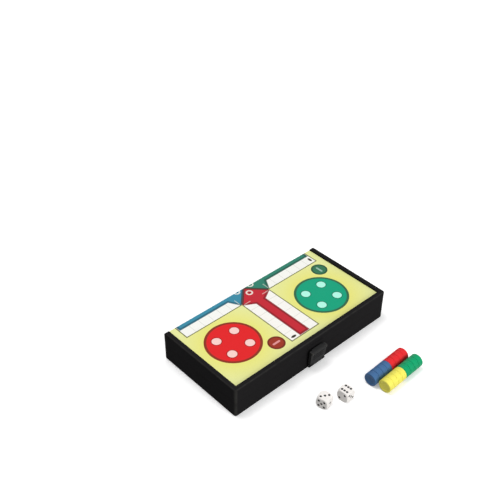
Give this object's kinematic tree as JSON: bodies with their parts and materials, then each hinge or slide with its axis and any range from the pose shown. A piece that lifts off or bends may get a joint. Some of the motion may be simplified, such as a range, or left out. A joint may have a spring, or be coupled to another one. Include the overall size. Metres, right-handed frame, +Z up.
{
  "type": "folding board game box",
  "caption": "Two shallow moulded trays hinged into a flat box with a clasp, a ludo board outside, magnetic counters and two dice",
  "frame": {"origin": "middle of the front rim's underside, on the face that the folded box stands on, under the clasp", "axes": "+X along the long side and the fold, +Y from the clasp to the hinge, +Z up out of the playing surface"},
  "size_m": [0.2, 0.1774, 0.033],
  "materials": {
    "black_plastic": "satin, finely textured",
    "tinplate": "smooth",
    "printed_sheet": "laminated print, low gloss",
    "steel_wire": "drawn wire",
    "magnet": "sintered, dull",
    "pip_paint": "matt black paint",
    "white_plastic": "gloss",
    "blue_plastic": "gloss",
    "red_plastic": "gloss",
    "yellow_plastic": "gloss",
    "green_plastic": "gloss"
  },
  "bodies": {
    "upper_half": {"upper_tray": "black_plastic", "upper_steel_sheet": "tinplate", "upper_print_sheet": "printed_sheet", "left_hinge_pin": "steel_wire", "right_hinge_pin": "steel_wire"},
    "lower_half": {"lower_tray": "black_plastic", "lower_steel_sheet": "tinplate", "lower_print_sheet": "printed_sheet", "clasp_pin": "steel_wire"},
    "clasp": {"clasp": "black_plastic"},
    "blue_counters": {"blue_counter_1": "blue_plastic", "blue_counter_2": "blue_plastic", "blue_counter_3": "blue_plastic", "blue_counter_4": "blue_plastic", "blue_magnets": "magnet"},
    "red_counters": {"red_counter_1": "red_plastic", "red_counter_2": "red_plastic", "red_counter_3": "red_plastic", "red_counter_4": "red_plastic", "red_magnets": "magnet"},
    "yellow_counters": {"yellow_counter_1": "yellow_plastic", "yellow_counter_2": "yellow_plastic", "yellow_counter_3": "yellow_plastic", "yellow_counter_4": "yellow_plastic", "yellow_magnets": "magnet"},
    "green_counters": {"green_counter_1": "green_plastic", "green_counter_2": "green_plastic", "green_counter_3": "green_plastic", "green_counter_4": "green_plastic", "green_magnets": "magnet"},
    "left_die": {"left_die": "white_plastic", "left_die_pips": "pip_paint"},
    "right_die": {"right_die": "white_plastic", "right_die_pips": "pip_paint"}
  },
  "joints": [
    {"name": "fold", "type": "hinge", "parent": "upper_half", "child": "lower_half", "pos_m": [0, 0.0975, 0.0165], "axis": [1, 0, 0], "range_deg": [0, 180]},
    {"name": "clasp_turn", "type": "hinge", "parent": "lower_half", "child": "clasp", "pos_m": [0, -0.0049, 0.005], "axis": [1, 0, 0], "range_deg": [-4, 90]},
    {"name": "blue_counters_lift", "type": "slide", "parent": "upper_half", "child": "blue_counters", "axis": [0, 0, 1], "range_m": [0, 0.03]},
    {"name": "red_counters_lift", "type": "slide", "parent": "upper_half", "child": "red_counters", "axis": [0, 0, 1], "range_m": [0, 0.03]},
    {"name": "yellow_counters_lift", "type": "slide", "parent": "upper_half", "child": "yellow_counters", "axis": [0, 0, 1], "range_m": [0, 0.03]},
    {"name": "green_counters_lift", "type": "slide", "parent": "upper_half", "child": "green_counters", "axis": [0, 0, 1], "range_m": [0, 0.03]},
    {"name": "left_die_lift", "type": "slide", "parent": "upper_half", "child": "left_die", "axis": [0, 0, 1], "range_m": [0, 0.03]},
    {"name": "right_die_lift", "type": "slide", "parent": "upper_half", "child": "right_die", "axis": [0, 0, 1], "range_m": [0, 0.03]}
  ]
}
